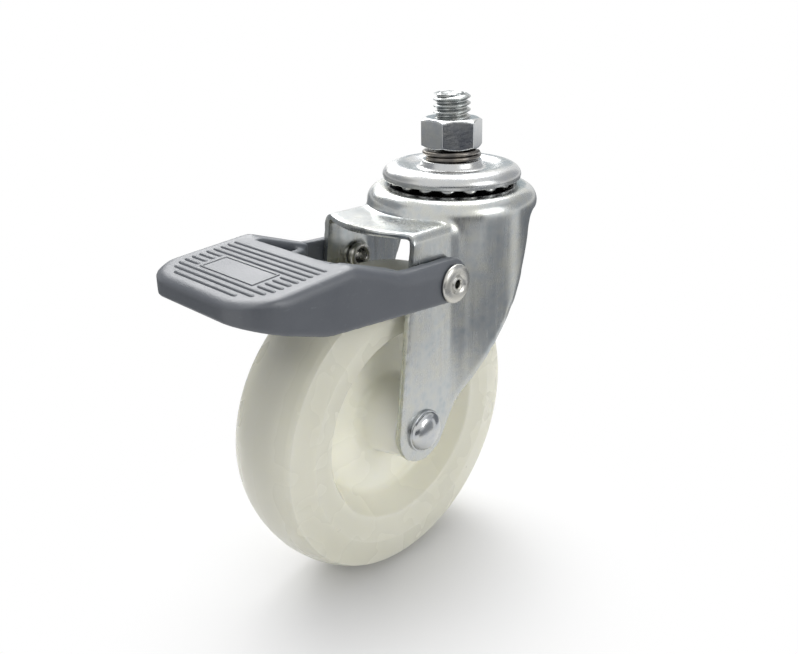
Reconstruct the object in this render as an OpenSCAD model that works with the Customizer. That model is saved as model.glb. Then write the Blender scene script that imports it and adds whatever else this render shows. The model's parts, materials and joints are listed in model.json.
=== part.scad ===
// Braked swivel castor with a threaded stem, a pressed fork and a moulded pedal.
// The origin is on the swivel axis, where the stem's free end leaves its nut.
// +Z runs up the stem, the wheel trails towards -X and the axle lies along Y.

/* [Wheel] */
// Diameter over the crown of the tread
wheel_d = 100; // [90:1:112]
// Width across the outermost edges of the rim
wheel_w = 28.4; // [26.4:0.2:30]
// Width of the tread between its edges
tread_w = 25.6; // [22:0.2:26]
// Fall of the tread from its crown to its edges
tread_drop = 3; // [1.5:0.1:4]
// Radial width of the sloped band beside the tread
shoulder_band = 8.2; // [6:0.1:9]
// Radial width of the rim's face inside the sloped band
face_band = 7.4; // [4:0.1:9]
// Fall of the rim's face towards the dish
face_fall = 1.8; // [0.5:0.1:3]
// Radial run of the dish's sloped wall
dish_run = 4.4; // [3:0.1:6]
// Thickness of the web between the dishes
web_t = 6; // [5:0.2:12]
// Diameter of the hub where it leaves the web
hub_root_d = 25; // [23.5:0.5:30]
// Diameter of the hub's end face
hub_end_d = 20; // [17:0.5:23]
// Fillet where the hub and the dish meet the web
dish_fillet = 3; // [1:0.1:4]

/* [Axle] */
// Diameter of the axle rivet
axle_d = 8; // [6:0.1:8.6]
// Outer diameter of the spacer tube that the wheel runs on
sleeve_d = 12; // [10.5:0.1:14]
// Diameter of the rivet's collar
axle_head_d = 13.4; // [11:0.1:16]
// Thickness of the rivet's collar
axle_collar_t = 0.9; // [0.6:0.1:1.5]
// Height of the rivet's dome above its collar
axle_dome_h = 3; // [1.5:0.1:4]
// Side play of the hub between the legs, each side
hub_play = 0.3; // [0.2:0.05:0.6]
// Radial running clearance of the wheel and of the pedal
running_gap = 0.05; // [0.02:0.01:0.08]
// Radial clearance of pieces that are fixed together
fit_gap = 0.02; // [0.01:0.01:0.04]

/* [Fork] */
// Width over the legs
fork_w = 39.4; // [37:0.2:43]
// Thickness of the pressed sheet
sheet_t = 2; // [1.6:0.1:2.4]
// Radius of the round head
drum_r = 28.4; // [27:0.1:30]
// Radius of the head's pressed shoulder
drum_shoulder = 5; // [4:0.1:6]
// Height of the head above the web over the wheel
drum_step = 6; // [4:0.1:8]
// Distance of the web's front edge from the swivel axis
tunnel_reach = 38.6; // [36:0.1:42]
// Radius of the bend between the web and a leg
web_bend = 3.2; // [3:0.1:6]
// Reach of the web's bowed front edge beyond the legs
web_bow = 5; // [2:0.1:6]
// Radius of the hollow blend between the head and a leg
neck_r = 8; // [6:0.1:9]
// Height of the head's rim at the back, below its top
rim_h = 6.6; // [6:0.1:9]
// Distance of the back edge from the swivel axis, where it leaves the rim
back_reach = 7.6; // [4:0.1:12]
// Distance of the back edge's knee in front of the swivel axis
knee_reach = 1.7; // [0:0.1:4]
// Drop of the knee below the web's top
knee_drop = 24.1; // [20:0.1:30]
// Radius of the knee
knee_r = 80; // [40:1:90]
// Radius where the back edge meets the rim
rim_fillet = 5; // [3:0.1:6]
// Radius of the leg's round end
leg_end_r = 10.5; // [9:0.1:12]
// Trail of the axle behind the swivel axis
trail = 35.8; // [33:0.1:38]
// Headroom between the wheel and the web
wheel_headroom = 12.3; // [10:0.1:16]

/* [Swivel] */
// Diameter of the upper balls
ball_d = 6.35; // [5.6:0.05:6.5]
// Radius of the upper ring of balls
ball_ring_r = 17.8; // [17.4:0.1:19]
// Depth of the fork's top below the centres of the upper balls
race_depth = 1.9; // [1.5:0.1:2.2]
// Running gap between the fork's races and the balls
fork_race_gap = 0.3; // [0.1:0.05:0.4]
// Diameter of the lower balls
lower_ball_d = 4.76; // [4:0.02:5]
// Radius of the lower ring of balls
lower_ring_r = 12; // [11.6:0.1:12.4]
// Depth of the lower balls' centres below the fork's sheet
lower_race_depth = 1.6; // [1.4:0.1:2]
// Thickness of the lower race under its balls
lower_race_t = 1.8; // [1.4:0.1:2.4]
// Radius of the fork's middle hole
fork_hole_r = 9; // [8.7:0.1:9.4]
// Thickness of the top cap's sheet
cap_t = 2; // [1.6:0.1:2.4]
// Radius of the cap at its bulge
cap_r = 23; // [22:0.1:24.5]
// Fall from the cap's boss to the crest of its bulge
crest_drop = 1.1; // [0.8:0.1:1.8]
// Depth of the cap's lip below its boss
lip_drop = 6.1; // [5.6:0.1:6.4]
// Height of the lip below the cap's bulge
lip_h = 1.3; // [0.8:0.1:1.6]
// Radius of the cap's boss
boss_r = 10.2; // [9.8:0.1:11]
// Depth of the valley round the boss
valley_drop = 2.6; // [2.4:0.1:3]

/* [Stem] */
// Diameter of the threaded stem
stem_d = 12.2; // [11.6:0.1:13]
// Length of the stem above the nut
stem_free = 8; // [6:0.5:30]
// Chamfer at the stem's end
stem_chamfer = 0.9; // [0.5:0.1:1.2]
// Diameter of the stem's body inside the swivel
stem_body_d = 16; // [15:0.1:16.4]
// Width of the nut across its flats
nut_af = 17.9; // [17:0.1:20]
// Height of the nut
nut_h = 10; // [8:0.1:12]
// Turn of the nut about the stem
nut_turn = 24; // [0:1:60]
// Height of the spring washer
washer_h = 3.6; // [3.6:0.1:5]
// Thickness of the spring washer's wire
washer_t = 1.45; // [1.1:0.05:1.45]
// Outer diameter of the spring washer
washer_d = 19.6; // [18:0.1:19.8]

/* [Brake pedal] */
// Distance of the pedal's pivot from the swivel axis
pivot_reach = 27.4; // [25:0.1:29]
// Drop of the pivot below the web's top
pivot_drop = 16.4; // [15:0.1:18]
// Diameter of the hollow pivot rivets
pivot_d = 8; // [7:0.1:8.6]
// Wall of the hollow pivot rivets
pivot_wall = 1; // [0.8:0.1:1.4]
// Diameter of a pivot rivet's flange
pivot_flange_d = 12; // [11:0.1:14]
// Height of a pivot rivet's domed flange
pivot_flange_h = 1.4; // [1:0.1:2]
// Length of a pivot rivet's tail inside the leg
pivot_tail = 2.3; // [1.6:0.1:3.2]
// Gap between an arm and the leg or the flange beside it
arm_gap = 0.3; // [0.2:0.05:0.5]
// Thickness of an arm
arm_t = 5; // [4:0.1:6]
// Radius of an arm's round end
arm_end_r = 6.6; // [5.8:0.1:7.2]
// Rise of an arm's top above its round end, where the step up to the pad begins
arm_rise = 1.6; // [0.5:0.1:3]
// Depth that an arm's inner face is eased by at its end, to clear the fork's neck
arm_ease = 0.9; // [0.7:0.1:1.2]
// Distance of the pad's front edge from the pivot
pad_reach = 72.6; // [68:0.2:78]
// Length of the pad from front to back
pad_len = 33; // [30:0.2:36]
// Rise of the pad's back edge above the pivot
pad_rise = 14.4; // [12:0.1:16]
// Fall of the pad towards its front edge, in degrees
pad_slope = 4; // [0:0.5:8]
// Length of the level top behind the pad's back edge
step_top_l = 1.6; // [1:0.2:4]
// Length of the step from the pad down to the arms
step_l = 18; // [14:0.2:19]
// Radius at the step's foot
step_foot_r = 20; // [12:0.5:24]
// Radius at the step's top
step_top_r = 8; // [5:0.5:10]
// Fall of the pedal's top at its outer edges, in degrees
edge_fall = 24; // [15:1:30]
// Width of the falling band along the outer edges
edge_band = 5; // [3:0.1:6]
// Distance of the deepest point of the skirt from the pad's back edge
skirt_reach = 9; // [6:0.2:12]
// Drop of that point below the pivot
skirt_drop = 1.7; // [0:0.1:3]
// Radius of the skirt's lower edge there
skirt_r = 20; // [10:0.5:24]
// Radius of the pad's front edge, at its top
pad_nose_r = 2.6; // [1.5:0.1:3]
// Thickness of the pad's front edge
pad_edge_t = 5.5; // [4.5:0.1:7]
// Thickness of the pad's top
pad_top_t = 3.4; // [2.5:0.1:4]
// Thickness of the pad's side and front walls
pad_wall = 3.4; // [2.5:0.1:4.5]
// Radius of the pad's front corners
pad_corner = 13.5; // [8:0.1:16]
// Number of grip ribs
rib_count = 11; // [7:1:12]
// Distance between grip ribs
rib_pitch = 2.31; // [2:0.01:2.4]
// Distance from the pad's edges to the ribs' ends
rib_margin = 3.9; // [3:0.1:6]
// Height of the grip ribs
rib_h = 0.6; // [0.3:0.1:0.8]
// Radius of the grip ribs
rib_r = 0.85; // [0.85:0.05:1]
// Length of the bare panel among the ribs
panel_l = 25.4; // [18:0.2:30]
// Number of ribs before the bare panel
ribs_before_panel = 4; // [2:1:4]
// Number of ribs that the bare panel interrupts
ribs_in_panel = 4; // [2:1:4]
// Thickness of the webs that brace the arms
brace_t = 2; // [1.6:0.1:3]
// Depth of those webs
brace_h = 8; // [6:0.2:9]
// Length of those webs along the pedal
brace_l = 19; // [16:0.2:20]
// Depth of those webs' tops below the arms' tops
brace_drop = 1.6; // [0.5:0.1:2.5]
// Distance of those webs from the middle, where they leave the pad
brace_y = 2; // [1.2:0.1:4]
// Width of the flange inside an arm's top
flange_w = 3.2; // [2:0.1:4]
// Gap between the brake shoe and the tread when released
brake_gap = 5; // [4.5:0.1:6]
// Length of the brake shoe along the tread
shoe_l = 6; // [4:0.1:8]
// Width of the brake shoe
shoe_w = 24; // [16:0.2:26]

/* [Hidden] */
$fn = 64;
STEEL = "#c3c8cc";
DARK_STEEL = "#55565a";
PEDAL_GREY = "#78808c";
IVORY = "#e9e7d8";
// Room by which a cutting shape stands clear of what it cuts
clear = 1;
// Straight pieces in the arc of one rounded corner
corner_steps = 8;

stem_r = stem_d/2;
ball_r = ball_d/2;
lower_ball_r = lower_ball_d/2;
wheel_r = wheel_d/2;
fork_half = fork_w/2;
leg_in = fork_half - sheet_t;
// Radius at which the engaged threads of stem and nut are drawn
thread_engage_r = stem_r - 0.45;
// Radius of the stem's step through the lower race
stem_step_r = stem_r - 0.35;

boss_z = -nut_h - washer_h;
crest_z = boss_z - crest_drop;
ball_z = crest_z - cap_t - fit_gap - ball_r;
lip_z = boss_z - lip_drop;
drum_top = ball_z - race_depth;
web_top = drum_top - drum_step;
pivot_x = -pivot_reach;
pivot_z = web_top - pivot_drop;
axle_x = -trail;
axle_z = web_top - sheet_t - wheel_headroom - wheel_r;
lower_ball_z = drum_top - sheet_t - lower_race_depth;
lower_race_top = lower_ball_z - lower_ball_r/3;
lower_race_bottom = lower_ball_z - lower_ball_r - fit_gap - lower_race_t;

arm_in = fork_half + arm_gap;
arm_out = arm_in + arm_t;
pad_front_x = pivot_x - pad_reach;
pad_back_x = pad_front_x + pad_len;
pad_back_z = pivot_z + pad_rise;

function unit(v) = v/norm(v);
function turned(v, a) = [v[0]*cos(a) - v[1]*sin(a), v[0]*sin(a) + v[1]*cos(a)];
function polar(r, a) = [r*cos(a), r*sin(a)];
function arc(centre, r, a0, a1, n) = [for (i = [0:n]) centre + polar(r, a0 + (a1 - a0)*i/n)];

// The corner b of an outline, coming from a and going to c, rounded with radius r
function corner(a, b, c, r) =
    r <= 0 ? [b] :
    let (
        u = unit(a - b),
        v = unit(c - b),
        half = acos(max(-1, min(1, u*v)))/2,
        centre = b + unit(u + v)*r/sin(half),
        start = b + u*r/tan(half) - centre,
        sweep = (cross(u, v) > 0 ? -1 : 1)*(180 - 2*half)
    )
    [for (i = [0:corner_steps]) centre + turned(start, sweep*i/corner_steps)];

// An outline given as [x, y, corner radius] points
function rounded(points) =
    let (n = len(points), flat = [for (p = points) [p[0], p[1]]])
    [for (i = [0:n - 1]) each corner(flat[(i + n - 1) % n], flat[i], flat[(i + 1) % n], points[i][2])];

// Height of the pad's top at a distance from the swivel axis
function pad_z(x) = pad_back_z - (pad_back_x - x)*tan(pad_slope);

// An outline in X and Z, made as thick along Y as width
module across(width) {
    rotate([90, 0, 0])
        linear_extrude(width, center = true)
            children();
}

// A section in radius and length, turned about an axis along Y
module about_y(x, z) {
    translate([x, 0, z])
        rotate([-90, 0, 0])
            rotate_extrude()
                children();
}

module pin_along_y(x, z, r, length) {
    translate([x, 0, z])
        rotate([90, 0, 0])
            cylinder(r = r, h = length, center = true);
}

module ring_groove(ring_r, z, r) {
    translate([0, 0, z])
        rotate_extrude()
            translate([ring_r, 0])
                circle(r, $fn = 48);
}

module ball_ring(count, ring_r, z, r) {
    for (i = [0:count - 1])
        rotate([0, 0, 360*(i + 0.25)/count])
            translate([ring_r, 0, z])
                sphere(r, $fn = 32);
}

module stem_bolt() {
    body_r = stem_body_d/2;
    head_r = body_r + 0.4;
    head_t = 2.4;
    color(STEEL)
        rotate_extrude()
            polygon([
                [0, stem_free],
                [stem_r - stem_chamfer, stem_free],
                [stem_r, stem_free - stem_chamfer],
                [stem_r, 0],
                [thread_engage_r, 0],
                [thread_engage_r, -nut_h],
                [stem_r, -nut_h],
                [stem_r, boss_z - cap_t],
                [body_r, boss_z - cap_t],
                [body_r, lower_race_top],
                [stem_step_r, lower_race_top],
                [stem_step_r, lower_race_bottom],
                [head_r, lower_race_bottom],
                [head_r, lower_race_bottom - head_t*0.4],
                [head_r*0.7, lower_race_bottom - head_t],
                [0, lower_race_bottom - head_t],
            ]);
}

module hex_nut() {
    corner_r = nut_af/sqrt(3);
    face_r = nut_af*0.475;
    fall = (corner_r - face_r)*tan(30);
    color(STEEL)
        difference() {
            intersection() {
                translate([0, 0, -nut_h])
                    rotate([0, 0, nut_turn])
                        cylinder(r = corner_r, h = nut_h, $fn = 6);
                rotate_extrude()
                    polygon([
                        [0, 0],
                        [face_r, 0],
                        [corner_r + clear, -fall*(corner_r + clear - face_r)/(corner_r - face_r)],
                        [corner_r + clear, fall*(corner_r + clear - face_r)/(corner_r - face_r) - nut_h],
                        [face_r, -nut_h],
                        [0, -nut_h],
                    ]);
            }
            translate([0, 0, -nut_h - clear])
                cylinder(r = thread_engage_r + fit_gap, h = nut_h + 2*clear);
        }
}

// One and a third turns of flat wire, cut square at both ends
module spring_washer() {
    start_turn = 161;
    sweep = 490;
    steps = 48;
    inner_r = stem_r + 0.35;
    outer_r = washer_d/2;
    low = boss_z + fit_gap;
    rise = washer_h - washer_t - 2*fit_gap;
    points = [
        for (i = [0:steps])
            let (a = start_turn + sweep*i/steps, z = low + rise*i/steps)
            for (c = [[inner_r, 0], [outer_r, 0], [outer_r, washer_t], [inner_r, washer_t]])
                [c[0]*cos(a), c[0]*sin(a), z + c[1]]
    ];
    sides = [
        for (i = [0:steps - 1], k = [0:3])
            let (j = (k + 1) % 4)
            [4*i + k, 4*i + 4 + k, 4*i + 4 + j, 4*i + j]
    ];
    color(DARK_STEEL)
        polyhedron(points, concat([[0, 1, 2, 3]], sides, [[for (k = [3:-1:0]) 4*steps + k]]));
}

module top_cap() {
    hole_r = stem_r + fit_gap;
    recess_r = stem_body_d/2 + 0.2;
    valley_z = boss_z - valley_drop;
    valley_r = boss_r + 0.8*cap_t;
    under_z = valley_z - cap_t;
    groove_r = ball_r + fit_gap;
    bulge_z = lip_z + lip_h;
    lip_in = 0.25;
    edge = 0.6;
    climb = 8;
    color(STEEL)
        difference() {
            rotate_extrude()
                polygon(concat(
                    [[hole_r, boss_z], [boss_r - edge, boss_z], [boss_r, boss_z - edge]],
                    [[boss_r + edge/6, valley_z + edge], [boss_r + edge, valley_z + edge/4]],
                    [for (i = [0:climb])
                        let (t = i/climb)
                        [valley_r + (ball_ring_r - valley_r)*t,
                         valley_z + (crest_z - valley_z)*(1 - cos(180*t))/2]],
                    [for (i = [1:climb])
                        let (a = 90*i/climb)
                        [ball_ring_r + (cap_r - ball_ring_r)*sin(a), bulge_z + (crest_z - bulge_z)*cos(a)]],
                    [[cap_r - lip_in, bulge_z - lip_in], [cap_r - lip_in, lip_z]],
                    [[ball_ring_r, lip_z], [ball_ring_r - groove_r*0.8, under_z]],
                    [[recess_r, under_z], [recess_r, boss_z - cap_t], [hole_r, boss_z - cap_t]]
                ));
            ring_groove(ball_ring_r, ball_z, groove_r);
        }
}

module upper_balls() {
    count = floor(180/asin((ball_r + 0.03)/ball_ring_r));
    color(STEEL)
        ball_ring(count, ball_ring_r, ball_z, ball_r);
}

module lower_balls() {
    count = floor(180/asin((lower_ball_r + 0.03)/lower_ring_r));
    color(STEEL)
        ball_ring(count, lower_ring_r, lower_ball_z, lower_ball_r);
}

module lower_race() {
    outer_r = lower_ring_r + 1.2*lower_ball_r;
    edge_r = lower_race_t*0.9;
    color(STEEL)
        difference() {
            rotate_extrude()
                polygon(rounded([
                    [stem_step_r + fit_gap, lower_race_top, 0],
                    [outer_r, lower_race_top, 0.3*edge_r],
                    [outer_r, lower_race_bottom, edge_r],
                    [stem_step_r + fit_gap, lower_race_bottom, 0],
                ]));
            ring_groove(lower_ring_r, lower_ball_z, lower_ball_r + fit_gap);
        }
}

// The fork's outer form, or with an inset the hollow inside it
module fork_form(inset) {
    bottom = axle_z - leg_end_r - 2*clear - inset;
    r = drum_r - inset;
    half = fork_half - inset;
    top = web_top - inset;
    bend = web_bend - inset;
    neck = neck_r + inset;
    neck_y = half + neck;
    neck_x = -sqrt(pow(r + neck, 2) - pow(neck_y, 2));
    front = -tunnel_reach - trail;
    rotate_extrude($fn = 96)
        polygon(rounded([
            [0, drum_top - inset, 0],
            [r, drum_top - inset, drum_shoulder - inset],
            [r, bottom, 0],
            [0, bottom, 0],
        ]));
    translate([front, 0, 0])
        rotate([90, 0, 90])
            linear_extrude(-front)
                polygon(rounded([
                    [-half, bottom, 0],
                    [half, bottom, 0],
                    [half, top, bend],
                    [-half, top, bend],
                ]));
    for (side = [-1, 1])
        intersection() {
            translate([neck_x, side*neck_y, 0])
                rotate_extrude($fn = 96)
                    polygon(rounded([
                        [neck, bottom, 0],
                        [neck, top, bend],
                        [neck + 2*bend, top, 0],
                        [neck + 2*bend, bottom, 0],
                    ]));
            translate([0, 0, bottom])
                linear_extrude(top - bottom)
                    polygon([
                        [neck_x, side*neck_y],
                        [neck_x, side*(half - bend)],
                        [neck_x*0.6, side*(half - bend)],
                        [0, 0],
                    ]);
        }
}

// Angle at which a line from p touches a circle, on the side that turn gives
function touch(p, centre, r, turn) =
    let (d = p - centre)
    atan2(d[1], d[0]) + turn*acos(r/norm(d));

// The fork seen from the side: a slanted front, a round leg end and a back edge with a soft knee
function fork_outline() =
    let (
        axle = [axle_x, axle_z],
        start = [-tunnel_reach, web_top],
        knee = [knee_reach, web_top - knee_drop],
        rim_z = drum_top - rim_h,
        notch = [back_reach, rim_z],
        far = drum_r + clear,
        front_angle = touch(start, axle, leg_end_r, 1),
        back_angle = touch(knee, axle, leg_end_r, -1) + 360,
        leg_end = arc(axle, leg_end_r, front_angle, back_angle, 16)
    )
    concat(
        [[-tunnel_reach, drum_top + clear], start],
        leg_end,
        corner(leg_end[16], knee, notch, knee_r),
        corner(knee, notch, [far, rim_z], rim_fillet),
        [[far, rim_z], [far, drum_top + clear]]
    );

module fork() {
    race_r = ball_r + fork_race_gap;
    bulge_r = race_r + sheet_t;
    under_z = drum_top - sheet_t;
    meet = asin((under_z - ball_z)/bulge_r);
    web_arc_r = (pow(leg_in, 2) + pow(web_bow, 2))/(2*web_bow);
    web_arc = asin(leg_in/web_arc_r);
    color(STEEL)
        difference() {
            union() {
                intersection() {
                    difference() {
                        fork_form(0);
                        fork_form(sheet_t);
                    }
                    union() {
                        across(4*drum_r)
                            polygon(fork_outline());
                        translate([-tunnel_reach, 0, web_top - web_bend])
                            linear_extrude(web_bend + clear)
                                polygon(concat(
                                    [[clear, -leg_in], [clear, leg_in]],
                                    arc([web_arc_r - web_bow, 0], web_arc_r, 180 - web_arc, 180 + web_arc, 12)
                                ));
                    }
                }
                rotate_extrude()
                    polygon(concat(
                        arc([ball_ring_r, ball_z], bulge_r, -180 - meet, meet, 12),
                        [[ball_ring_r + bulge_r*cos(meet), under_z + sheet_t/4],
                         [ball_ring_r - bulge_r*cos(meet), under_z + sheet_t/4]]
                    ));
            }
            ring_groove(ball_ring_r, ball_z, race_r);
            ring_groove(lower_ring_r, lower_ball_z, lower_ball_r + fork_race_gap);
            translate([0, 0, under_z - clear])
                cylinder(r = fork_hole_r, h = sheet_t + 2*clear);
            pin_along_y(pivot_x, pivot_z, pivot_d/2 + fit_gap, 3*fork_w);
            pin_along_y(axle_x, axle_z, axle_d/2 + fit_gap, 3*fork_w);
        }
}

module axle_rivet() {
    r = axle_d/2;
    head_r = axle_head_d/2;
    dome_r = head_r - 0.6;
    steps = 6;
    dome = [for (i = [0:steps])
        [dome_r*cos(90*i/steps), fork_half + axle_collar_t + axle_dome_h*sin(90*i/steps)]];
    head = concat(
        [[r, fork_half], [head_r, fork_half], [head_r, fork_half + axle_collar_t]],
        dome
    );
    color(STEEL)
        about_y(axle_x, axle_z)
            polygon(concat(head, [for (i = [len(head) - 1:-1:0]) [head[i][0], -head[i][1]]]));
}

module axle_sleeve() {
    color(STEEL)
        difference() {
            pin_along_y(axle_x, axle_z, sleeve_d/2, 2*leg_in);
            pin_along_y(axle_x, axle_z, axle_d/2 + fit_gap, 2*leg_in + 2*clear);
        }
}

module wheel() {
    bore_r = sleeve_d/2 + running_gap;
    hub_half = leg_in - hub_play;
    tread_half = tread_w/2;
    edge_r = wheel_r - tread_drop;
    face_r = edge_r - shoulder_band;
    dish_r = face_r - face_band;
    crown_r = (pow(tread_half, 2) + pow(tread_drop, 2))/(2*tread_drop);
    crown_angle = asin(tread_half/crown_r);
    hub_edge_r = 0.8;
    dish_edge_r = 1.2;
    face_edge_r = 1.2;
    side = rounded([
        [bore_r, 0, 0],
        [bore_r, hub_half, 0],
        [hub_end_d/2, hub_half, hub_edge_r],
        [hub_root_d/2, web_t/2, dish_fillet],
        [dish_r - dish_run, web_t/2, dish_fillet],
        [dish_r, wheel_w/2 - face_fall, dish_edge_r],
        [face_r, wheel_w/2, face_edge_r],
        [edge_r, tread_half, 0],
        [wheel_r, 0, 0],
    ]);
    face = [for (p = side) if (p[1] > 0 && p[0] < edge_r - 0.01) p];
    crown = arc([wheel_r - crown_r, 0], crown_r, crown_angle, -crown_angle, 16);
    color(IVORY)
        about_y(axle_x, axle_z)
            polygon(concat(face, crown, [for (i = [len(face) - 1:-1:0]) [face[i][0], -face[i][1]]]));
}

// A hollow rivet: a domed flange with an eyelet outside the arm, and a tube through the arm and the leg
module pivot_rivet(side) {
    r = pivot_d/2;
    flange_r = pivot_flange_d/2;
    seat = arm_out + arm_gap;
    tail = leg_in - pivot_tail;
    bore_r = r - pivot_wall;
    rim_t = pivot_flange_h/4;
    eye_r = bore_r*0.42;
    eye_out = bore_r*0.78;
    crest_r = bore_r*1.15;
    top = seat + pivot_flange_h;
    groove = top - pivot_flange_h*0.4;
    floor_y = seat - pivot_wall/2;
    steps = 5;
    color(STEEL)
        mirror([0, side < 0 ? 1 : 0, 0])
            about_y(pivot_x, pivot_z)
                polygon(concat(
                    [[r, tail], [r, seat], [flange_r, seat]],
                    [for (i = [0:steps])
                        let (a = 90*i/steps)
                        [crest_r + (flange_r - crest_r)*cos(a), seat + rim_t + (pivot_flange_h - rim_t)*sin(a)]],
                    [[eye_out, groove], [(eye_out + eye_r)/2, top], [eye_r, groove], [eye_r, floor_y]],
                    [[bore_r, floor_y - pivot_wall], [bore_r, tail]]
                ));
}

module pivot_rivet_left() {
    pivot_rivet(1);
}

module pivot_rivet_right() {
    pivot_rivet(-1);
}

// The pedal's top seen from the side, as [x, z, corner radius] points from the arm's end to the pad's front
function pedal_top() = [
    [pad_back_x + step_top_l + step_l, pivot_z + arm_end_r + arm_rise, step_foot_r],
    [pad_back_x + step_top_l, pad_back_z, step_top_r],
    [pad_back_x, pad_back_z, 0],
];

// The whole pedal seen from the side
function pedal_outline() =
    let (
        end_x = pivot_x + arm_end_r,
        end_round = arm_end_r*0.98,
        front_z = pad_z(pad_front_x)
    )
    rounded(concat(
        [[end_x, pivot_z + arm_end_r, end_round]],
        pedal_top(),
        [
            [pad_front_x, front_z, pad_nose_r],
            [pad_front_x, front_z - pad_edge_t, pad_nose_r/2],
            [pad_back_x - skirt_reach, pivot_z - skirt_drop, skirt_r],
            [end_x, pivot_z - arm_end_r, end_round],
        ]
    ));

// A block under the pedal's top, tilted about its outer edge so that it cuts a falling band there
module tilted_top(side, angle, band) {
    hinge_z = pivot_z + (pad_rise + arm_end_r + arm_rise)/2;
    far_x = pad_front_x - pad_len;
    deep = pivot_z - pad_reach;
    translate([0, side*(arm_out - band), hinge_z])
        rotate([-side*angle, 0, 0])
            translate([0, 0, -hinge_z])
                across(6*arm_out)
                    polygon(rounded(concat(
                        [[pivot_x + 3*arm_end_r, pivot_z + arm_end_r, 0]],
                        pedal_top(),
                        [[far_x, pad_z(far_x), 0], [far_x, deep, 0], [pivot_x + 3*arm_end_r, deep, 0]]
                    )));
}

// The pedal seen from above, drawn in by inset
module pedal_plan(inset) {
    half = arm_out - inset;
    front = pad_front_x + inset;
    polygon(rounded([
        [pivot_x + 2*arm_end_r, -half, 0],
        [pivot_x + 2*arm_end_r, half, 0],
        [front, half, pad_corner - inset],
        [front, -half, pad_corner - inset],
    ]));
}

// A layer of the pedal's own top surface, as thick as depth
module under_top(depth) {
    across(2*arm_out)
        difference() {
            polygon(pedal_outline());
            translate([0, -depth])
                polygon(pedal_outline());
        }
}

// Half the length of a rib whose middle lies at x, short of the rounded front corners
function rib_half(x) =
    let (
        r = pad_corner - rib_margin,
        past = max(0, pad_front_x + pad_corner - x)
    )
    arm_out - pad_corner + sqrt(max(0.01, r*r - past*past));

module grip_ribs() {
    first = pad_back_x - edge_band;
    panel_end = ribs_before_panel + ribs_in_panel;
    for (i = [0:rib_count - 1]) {
        x = first - i*rib_pitch;
        half = rib_half(x);
        in_panel = i >= ribs_before_panel && i < panel_end;
        spans = in_panel ? [[panel_l/2, half], [-half, -panel_l/2]] : [[-half, half]];
        for (s = spans)
            translate([x, s[0], pad_z(x) + rib_h - rib_r])
                rotate([-90, 0, 0])
                    cylinder(r = rib_r, h = s[1] - s[0], $fn = 24);
    }
}

// The diagonal web and the widened top flange between the pad and one arm
module arm_brace(side) {
    start = pad_back_x - clear;
    arm_x = pad_back_x + brace_l;
    root = side*(arm_in + clear);
    skew = brace_t*norm([brace_l, arm_in - brace_y])/(arm_in - brace_y);
    low = pivot_z - arm_end_r;
    high = pad_rise + 2*arm_end_r;
    intersection() {
        translate([0, 0, -brace_drop])
            under_top(brace_h);
        translate([0, 0, low])
            linear_extrude(high)
                polygon([
                    [start, side*brace_y],
                    [arm_x, root],
                    [arm_x + skew, root],
                    [start + skew, side*brace_y],
                ]);
    }
    intersection() {
        under_top(pad_top_t);
        translate([0, 0, low])
            linear_extrude(high)
                polygon([
                    [start, side*(arm_in - flange_w)],
                    [arm_x, side*(arm_in - flange_w)],
                    [arm_x, root],
                    [start, root],
                ]);
    }
}

module brake_pedal() {
    inner_half = arm_out - pad_wall;
    cavity_front = pad_front_x + pad_wall;
    cavity_back = pad_back_x - pad_wall;
    deep = pivot_z - 3*arm_end_r;
    shoe_top = pad_z(pad_back_x) - pad_top_t/2;
    color(PEDAL_GREY)
        difference() {
            union() {
                difference() {
                    intersection() {
                        across(2*arm_out)
                            polygon(pedal_outline());
                        translate([0, 0, deep])
                            linear_extrude(pad_back_z - deep + clear)
                                pedal_plan(0);
                        tilted_top(1, edge_fall, edge_band);
                        tilted_top(-1, edge_fall, edge_band);
                        tilted_top(1, 2*edge_fall, edge_band*0.4);
                        tilted_top(-1, 2*edge_fall, edge_band*0.4);
                    }
                    // Window between the arms, eased where they pass the fork's neck
                    translate([0, 0, deep])
                        linear_extrude(pad_back_z - deep + clear)
                            polygon([
                                [pad_back_x, arm_in],
                                [pivot_x + arm_end_r/2, arm_in],
                                [pivot_x + arm_end_r, arm_in + arm_ease],
                                [pivot_x + 2*arm_end_r, arm_in + arm_ease],
                                [pivot_x + 2*arm_end_r, -arm_in - arm_ease],
                                [pivot_x + arm_end_r, -arm_in - arm_ease],
                                [pivot_x + arm_end_r/2, -arm_in],
                                [pad_back_x, -arm_in],
                            ]);
                    // Hollow under the pad
                    intersection() {
                        across(2*arm_out)
                            polygon([
                                [cavity_front, pad_z(cavity_front) - pad_top_t],
                                [cavity_back, pad_z(cavity_back) - pad_top_t],
                                [cavity_back, deep],
                                [cavity_front, deep],
                            ]);
                        translate([0, 0, deep])
                            linear_extrude(pad_back_z - deep)
                                pedal_plan(pad_wall);
                    }
                }
                grip_ribs();
                for (side = [-1, 1])
                    arm_brace(side);
                // Brake shoe under the pad's back edge, hollowed to the tread
                translate([pad_back_x - pad_wall, -shoe_w/2, deep])
                    cube([shoe_l, shoe_w, shoe_top - deep]);
            }
            pin_along_y(axle_x, axle_z, wheel_r + brake_gap, shoe_w + clear);
            pin_along_y(pivot_x, pivot_z, pivot_d/2 + running_gap, 3*arm_out);
        }
}

stem_bolt();
hex_nut();
spring_washer();
top_cap();
upper_balls();
fork();
lower_balls();
lower_race();
axle_rivet();
axle_sleeve();
wheel();
pivot_rivet_left();
pivot_rivet_right();
brake_pedal();
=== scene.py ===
import json
import math

import bmesh
import bpy
import numpy as np
from mathutils import Matrix, Vector


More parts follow.
